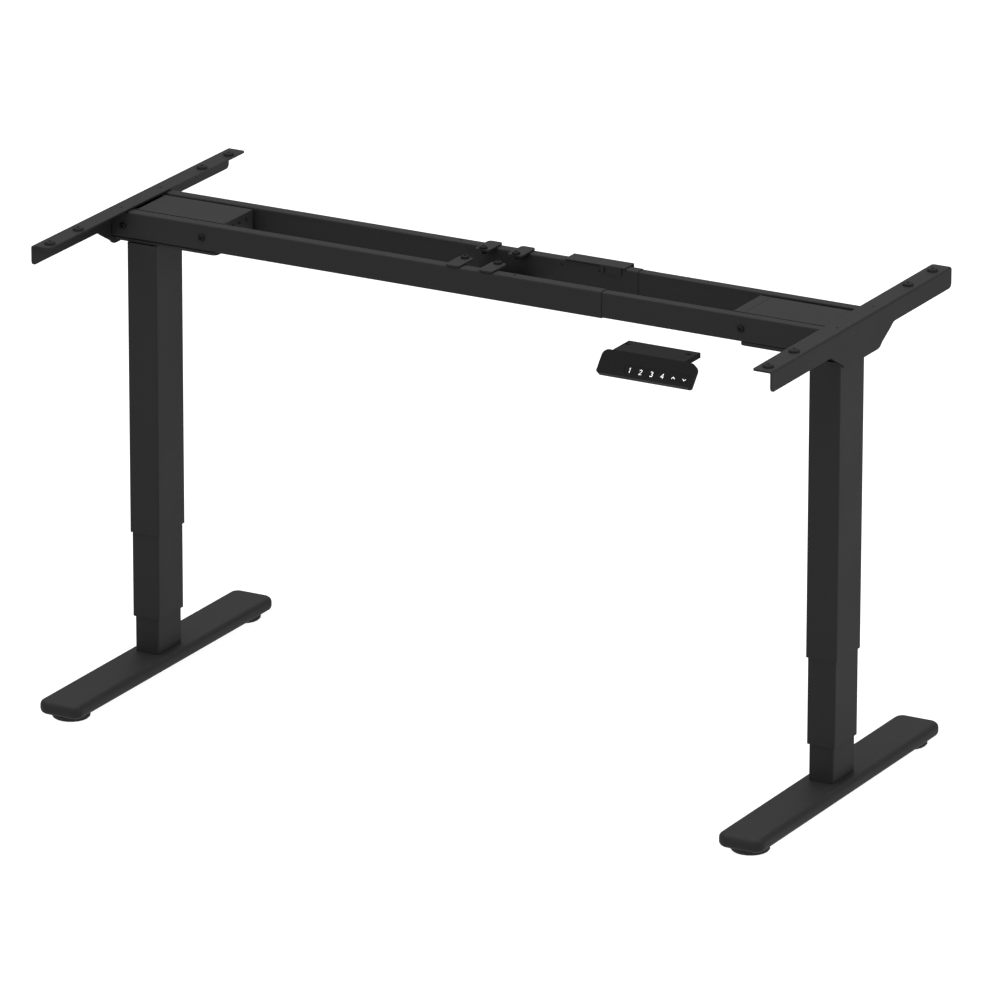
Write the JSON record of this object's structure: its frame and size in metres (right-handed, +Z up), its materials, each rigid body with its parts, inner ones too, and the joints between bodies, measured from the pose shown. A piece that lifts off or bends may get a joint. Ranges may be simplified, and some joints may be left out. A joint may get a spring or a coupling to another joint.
{
  "type": "height adjustable desk frame",
  "caption": "Black electric sit-stand desk frame without its top: lifting columns on flat feet, a telescoping crossbar, desktop brackets and a hand control.",
  "frame": {"origin": "on the floor, at the middle of the frame's overall box", "axes": "+X along the crossbar to the user's right, +Y to the rear, +Z up"},
  "size_m": [1.346, 0.6764, 0.7969],
  "materials": {
    "powder_coat": "matt black powder coat on steel",
    "glide_rubber": "matt moulded rubber",
    "pad_rubber": "matt moulded rubber",
    "bushing_acetal": "black acetal",
    "bare_steel": "bright turned steel",
    "brass_nut": "turned brass",
    "black_plastic": "fine-textured black plastic",
    "handset_plastic": "satin black plastic",
    "key_plastic": "satin black membrane with white figures"
  },
  "bodies": {
    "left_base": {"left_foot": "powder_coat", "left_inner_tube": "powder_coat", "left_base_nut": "brass_nut"},
    "left_mid": {"left_middle_tube": "powder_coat", "left_lower_bushing": "bushing_acetal", "left_spindle_bearing": "bushing_acetal"},
    "left_frame": {"left_outer_tube": "powder_coat", "left_upper_bushing": "bushing_acetal", "left_gearbox": "black_plastic", "left_motor": "bare_steel", "left_casing": "powder_coat", "left_end_cover": "powder_coat", "left_bracket": "powder_coat", "left_pad_1": "pad_rubber", "left_pad_2": "pad_rubber", "left_pad_3": "pad_rubber", "left_pad_4": "pad_rubber", "left_front_rail": "powder_coat", "left_rear_rail": "powder_coat", "clamp_front_1": "powder_coat", "clamp_front_2": "powder_coat", "clamp_rear_1": "powder_coat", "clamp_rear_2": "powder_coat", "centre_plate": "powder_coat", "control_box": "black_plastic", "box_hanger": "powder_coat"},
    "right_frame": {"right_outer_tube": "powder_coat", "right_upper_bushing": "bushing_acetal", "right_gearbox": "black_plastic", "right_motor": "bare_steel", "right_casing": "powder_coat", "right_end_cover": "powder_coat", "right_bracket": "powder_coat", "right_pad_1": "pad_rubber", "right_pad_2": "pad_rubber", "right_pad_3": "pad_rubber", "right_pad_4": "pad_rubber", "right_front_rail": "powder_coat", "right_rear_rail": "powder_coat", "handset": "handset_plastic"},
    "right_mid": {"right_middle_tube": "powder_coat", "right_lower_bushing": "bushing_acetal", "right_spindle_bearing": "bushing_acetal"},
    "right_base": {"right_foot": "powder_coat", "right_inner_tube": "powder_coat", "right_base_nut": "brass_nut"},
    "left_lower_spindle": {"left_lower_spindle": "bare_steel"},
    "left_drive_spindle": {"left_drive_spindle": "bare_steel"},
    "left_glide_front": {"left_glide_front": "glide_rubber"},
    "left_glide_rear": {"left_glide_rear": "glide_rubber"},
    "right_lower_spindle": {"right_lower_spindle": "bare_steel"},
    "right_drive_spindle": {"right_drive_spindle": "bare_steel"},
    "right_glide_front": {"right_glide_front": "glide_rubber"},
    "right_glide_rear": {"right_glide_rear": "glide_rubber"},
    "key_1": {"key_1": "key_plastic"},
    "key_2": {"key_2": "key_plastic"},
    "key_3": {"key_3": "key_plastic"},
    "key_4": {"key_4": "key_plastic"},
    "key_up": {"key_up": "key_plastic"},
    "key_down": {"key_down": "key_plastic"}
  },
  "joints": [
    {"name": "left_lower_stage", "type": "slide", "parent": "left_base", "child": "left_mid", "axis": [0, 0, 1], "range_m": [-0.055, 0.27]},
    {"name": "left_upper_stage", "type": "slide", "parent": "left_mid", "child": "left_frame", "axis": [0, 0, 1], "range_m": [-0.13, 0.195]},
    {"name": "frame_width", "type": "slide", "parent": "left_frame", "child": "right_frame", "axis": [1, 0, 0], "range_m": [-0.2, 0.25]},
    {"name": "right_upper_stage", "type": "slide", "parent": "right_frame", "child": "right_mid", "axis": [0, 0, -1], "range_m": [-0.13, 0.195]},
    {"name": "right_lower_stage", "type": "slide", "parent": "right_mid", "child": "right_base", "axis": [0, 0, -1], "range_m": [-0.055, 0.27]},
    {"name": "left_lower_spindle_turn", "type": "hinge", "parent": "left_mid", "child": "left_lower_spindle", "pos_m": [-0.611, 0.00019, 0.4], "axis": [0, 0, 1], "range_deg": [-1990, 9730]},
    {"name": "left_drive_spindle_turn", "type": "hinge", "parent": "left_frame", "child": "left_drive_spindle", "pos_m": [-0.611, 0.00019, 0.6], "axis": [0, 0, 1], "range_deg": [-4690, 7030]},
    {"name": "left_front_glide_height", "type": "slide", "parent": "left_base", "child": "left_glide_front", "axis": [0, 0, -1], "range_m": [0, 0.01]},
    {"name": "left_rear_glide_height", "type": "slide", "parent": "left_base", "child": "left_glide_rear", "axis": [0, 0, -1], "range_m": [0, 0.01]},
    {"name": "right_lower_spindle_turn", "type": "hinge", "parent": "right_mid", "child": "right_lower_spindle", "pos_m": [0.633, 0.00019, 0.4], "axis": [0, 0, 1], "range_deg": [-1990, 9730]},
    {"name": "right_drive_spindle_turn", "type": "hinge", "parent": "right_frame", "child": "right_drive_spindle", "pos_m": [0.633, 0.00019, 0.6], "axis": [0, 0, 1], "range_deg": [-4690, 7030]},
    {"name": "right_front_glide_height", "type": "slide", "parent": "right_base", "child": "right_glide_front", "axis": [0, 0, -1], "range_m": [0, 0.01]},
    {"name": "right_rear_glide_height", "type": "slide", "parent": "right_base", "child": "right_glide_rear", "axis": [0, 0, -1], "range_m": [0, 0.01]},
    {"name": "key_1_press", "type": "slide", "parent": "right_frame", "child": "key_1", "axis": [0, 0.757, -0.6534], "range_m": [0, 0.0006], "stiffness_N_per_m": 600},
    {"name": "key_2_press", "type": "slide", "parent": "right_frame", "child": "key_2", "axis": [0, 0.757, -0.6534], "range_m": [0, 0.0006], "stiffness_N_per_m": 600},
    {"name": "key_3_press", "type": "slide", "parent": "right_frame", "child": "key_3", "axis": [0, 0.757, -0.6534], "range_m": [0, 0.0006], "stiffness_N_per_m": 600},
    {"name": "key_4_press", "type": "slide", "parent": "right_frame", "child": "key_4", "axis": [0, 0.757, -0.6534], "range_m": [0, 0.0006], "stiffness_N_per_m": 600},
    {"name": "key_up_press", "type": "slide", "parent": "right_frame", "child": "key_up", "axis": [0, 0.757, -0.6534], "range_m": [0, 0.0006], "stiffness_N_per_m": 600},
    {"name": "key_down_press", "type": "slide", "parent": "right_frame", "child": "key_down", "axis": [0, 0.757, -0.6534], "range_m": [0, 0.0006], "stiffness_N_per_m": 600}
  ],
  "couplings": [
    {"joint": "right_upper_stage", "follows": "left_upper_stage", "ratio": 1},
    {"joint": "right_lower_stage", "follows": "left_lower_stage", "ratio": 1},
    {"joint": "left_lower_spindle_turn", "follows": "left_lower_stage", "rad_per_m": 628.32},
    {"joint": "left_drive_spindle_turn", "follows": "left_upper_stage", "rad_per_m": 628.32},
    {"joint": "right_lower_spindle_turn", "follows": "left_lower_stage", "rad_per_m": 628.32},
    {"joint": "right_drive_spindle_turn", "follows": "left_upper_stage", "rad_per_m": 628.32}
  ]
}
